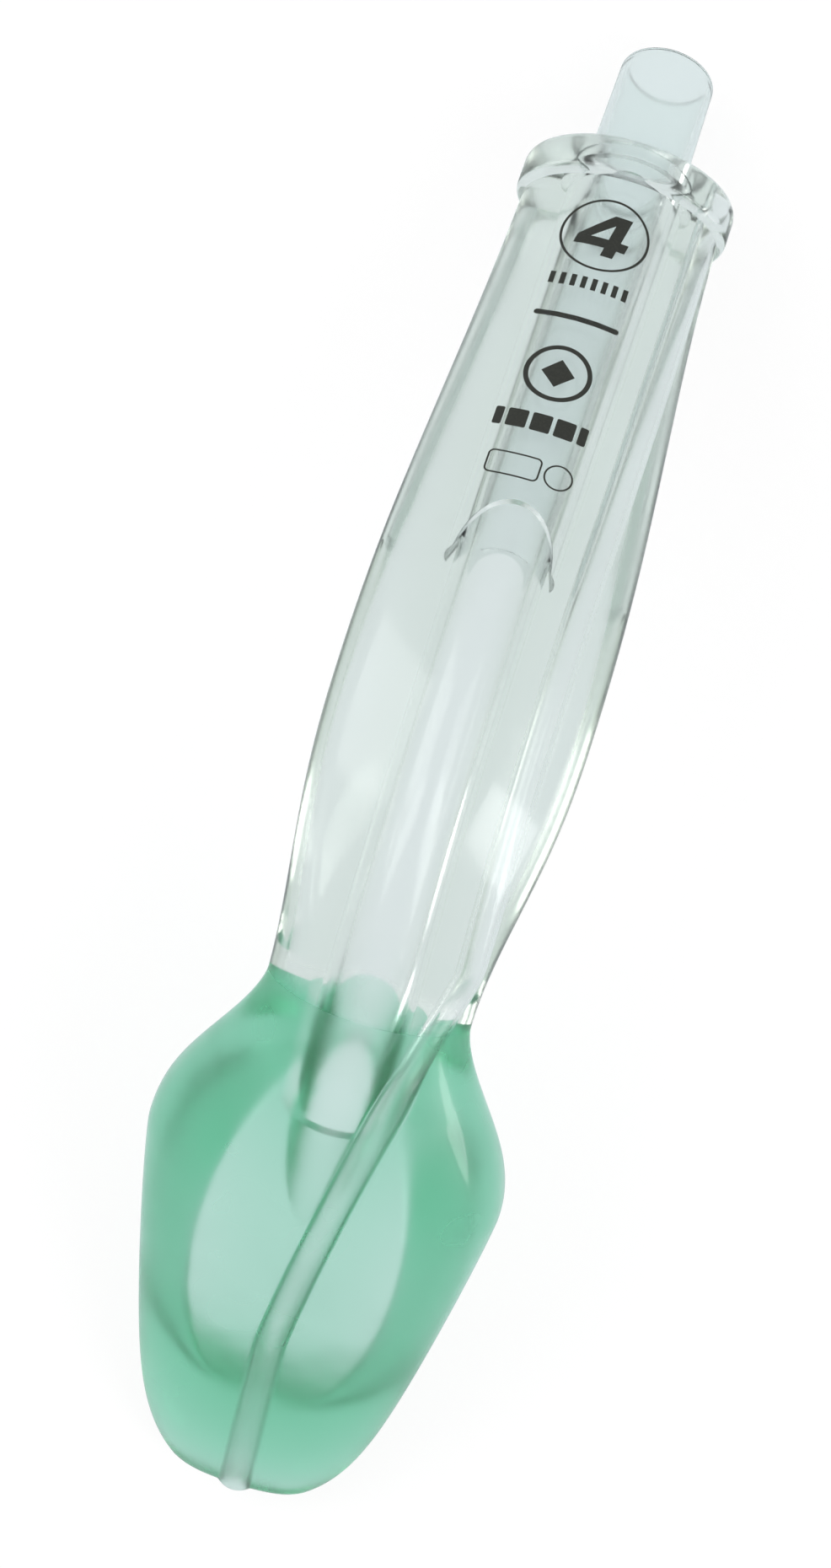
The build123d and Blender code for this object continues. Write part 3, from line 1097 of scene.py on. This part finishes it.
@dataclass
class Studio:
    """Pale floor, soft lamps and the photograph's camera.

    The camera stands depth millimetres from the connector's rim, where the photograph shows scale
    pixels to the millimetre. A lamp is its name, place and size in metres, and power in watts.
    """

    tilt: float = 3.1
    roll: float = 17.18
    depth: float = 593.4
    scale: float = 7.55
    tip_pixel: Pair = (791.4, 95.5)
    seen: str = "#e8f0f3"
    glossy: str = "#dfe8ea"
    sensor: float = 36.0
    floor_half: float = 3.0
    floor_grey: float = 0.8
    floor_glow: float = 0.85
    lamp_aim: tuple[float, float, float] = (0.0, 0.0, 0.04)
    lamps: tuple[tuple[str, tuple[float, ...], Pair, float], ...] = (
        ("soft_left", (-0.7, 0.1, 0.7), (0.5, 0.9), 4.0),
        ("soft_right", (0.7, -0.2, 0.6), (0.25, 0.9), 4.0),
    )

    def background(self, add: Adder) -> NodeSocket:
        """Colour that is white to the camera and pale blue-grey through gel or in gloss.

        Args:
            add: the call that adds nodes to the world or to the floor's material.

        Returns:
            The colour's socket.
        """
        rays = add("ShaderNodeLightPath")
        colour = (1, 1, 1, 1)
        for ray, tint in ((Ray.TRANSMISSION, self.seen), (Ray.GLOSSY, self.glossy)):
            share = rays.outputs[ray.value]
            mix = add("ShaderNodeMix", {"data_type": "RGBA"}, n0=share, n6=colour, n7=linear(tint))
            colour = mix.outputs[2]
        return colour

    def world(self) -> None:
        """Build the world's light."""
        world = bpy.data.worlds.new("studio_world")
        bpy.context.scene.world = world
        world.use_nodes = True
        world.node_tree.nodes.clear()
        add = partial(node, world.node_tree)
        light = add("ShaderNodeBackground", Color=self.background(add), Strength=1.0)
        add("ShaderNodeOutputWorld", Surface=light.outputs[0])

    def floor(self) -> None:
        """Lay a wide pale floor under the part."""
        mesh = bpy.data.meshes.new("floor")
        size = self.floor_half
        corners = [(-size, -size, 0), (size, -size, 0), (size, size, 0), (-size, size, 0)]
        mesh.from_pydata(corners, [], [(0, 1, 2, 3)])
        floor = new_object("floor", mesh)
        material, add = blank_material("floor_white")
        rays = add("ShaderNodeLightPath")
        matt = add("ShaderNodeBsdfDiffuse", Color=(*[self.floor_grey] * 3, 1))
        glow = add("ShaderNodeEmission", Color=self.background(add), Strength=1.0)
        share = self.floor_glow
        for ray in (Ray.GLOSSY, Ray.TRANSMISSION):
            inputs = {"n0": rays.outputs[ray.value], "n1": share}
            share = add("ShaderNodeMath", {"operation": "MAXIMUM"}, **inputs).outputs[0]
        blend = add("ShaderNodeMixShader", n0=share, n1=matt.outputs[0], n2=glow.outputs[0])
        add("ShaderNodeOutputMaterial", Surface=blend.outputs[0])
        mesh.materials.append(material)

    def lamp(self, name: str, place: tuple[float, ...], size: Pair, power: float) -> None:
        """Add a soft area lamp that looks at the part's middle."""
        data = bpy.data.lights.new(name, "AREA")
        data.shape = "RECTANGLE"
        data.size, data.size_y = size
        data.energy = power
        lamp = new_object(name, data)
        lamp.location = place
        aim = Vector(self.lamp_aim) - Vector(place)
        lamp.rotation_euler = aim.to_track_quat("-Z", "Y").to_euler()

    def camera(self, tip: Vector) -> None:
        """Place the camera so that the connector's rim falls where the photograph has it.

        Args:
            tip: centre of the connector's rim, in metres.
        """
        roll, tilt = math.radians(self.roll), math.radians(self.tilt)
        ahead = Vector((-math.sin(tilt), 0, -math.cos(tilt)))
        up = Vector((-math.sin(roll), math.cos(roll), 0))
        up = (up - up.dot(ahead) * ahead).normalized()
        right = ahead.cross(up)
        focal = self.scale * self.depth
        depth = self.depth * MM
        across = (self.tip_pixel[0] - PHOTO_WIDTH / 2) / focal * depth
        above = (PHOTO_HEIGHT / 2 - self.tip_pixel[1]) / focal * depth
        data = bpy.data.cameras.new("photo_camera")
        data.sensor_width = self.sensor
        data.lens = focal * self.sensor / PHOTO_HEIGHT
        data.clip_start, data.clip_end = 0.01, 10
        camera = new_object("photo_camera", data)
        camera.matrix_world = Matrix((right, up, -ahead)).transposed().to_4x4()
        camera.location = tip - ahead * depth - right * across - up * above
        bpy.context.scene.camera = camera

    def build(self, tip: Vector) -> None:
        """Build floor, world, lamps and camera."""
        self.world()
        self.floor()
        for settings in self.lamps:
            self.lamp(*settings)
        self.camera(tip)
        bpy.context.scene.view_settings.view_transform = "Standard"


def finish_piece(thing: Object, material: Material, node_name: str) -> None:
    """Dress a piece and tie it to the frame.

    Args:
        thing: the piece.
        material: its finish.
        node_name: the node that it stands for.
    """
    thing.data.materials.clear()
    thing.data.materials.append(material)
    smooth(thing)
    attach(thing, BODY)
    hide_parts(node_name)
    log.info("%s: %d faces", thing.name, len(thing.data.polygons))


def collar_top() -> Pair:
    """Place and height of the collar's top face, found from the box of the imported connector."""
    low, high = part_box("connector")
    rise = math.radians(CentreLine.rise)
    chamfer = Connector.rim_chamfer
    length, radius = Connector.cone_length, Connector.cone_tip_radius
    reach = length * math.cos(rise) + (radius - chamfer) * math.sin(rise)
    drop = (length - chamfer) * math.sin(rise) + radius * math.cos(rise)
    return high[1] / MM - reach, low[2] / MM + drop


def main() -> None:
    """Load the frame, build each sub-assembly on it and light it."""
    logging.basicConfig(level=logging.INFO, format="%(name)s %(message)s")
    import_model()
    top = collar_top()
    line = CentreLine(collar_top=top)
    stem = Stem(line, CentreLine(last_radius=OUTLET_BEND_RADIUS, collar_top=top))
    cuff = Cuff(stem)
    connector = Connector(stem)

    body = stem.skin()
    cut(body, [stem.seat_and_lumen(CLEARANCE), cuff.channel()])
    mark_bonded(body, stem.bonded_end)
    finish_piece(body, stem.gel.make(), "airway_body")

    shell = cuff.skin(CLEARANCE)
    start = stem.neck - OVERCUT
    cut(shell, [stem.lumen(start, stem.stub_radius + CLEARANCE, stem.stub_end + CLEARANCE)])
    outlet = stem.lumen(start, stem.lumen_radius, stem.neck + stem.outlet_reach)
    cut(shell, [outlet, cuff.channel()])
    mark_bonded(shell, stem.bonded_socket)
    finish_piece(shell, cuff.gel.make(), "cuff")

    marks = PrintedMarks(stem).make(body)
    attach(marks, BODY)
    log.info("%s: %d faces", marks.name, len(marks.data.polygons))

    moulding = connector.make()
    finish_piece(moulding, connector.plastic.make(), "connector")

    tip = Vector(line.place(-connector.cone_length, 0, 0))
    Studio().build(tip)


if __name__ == "__main__":
    main()
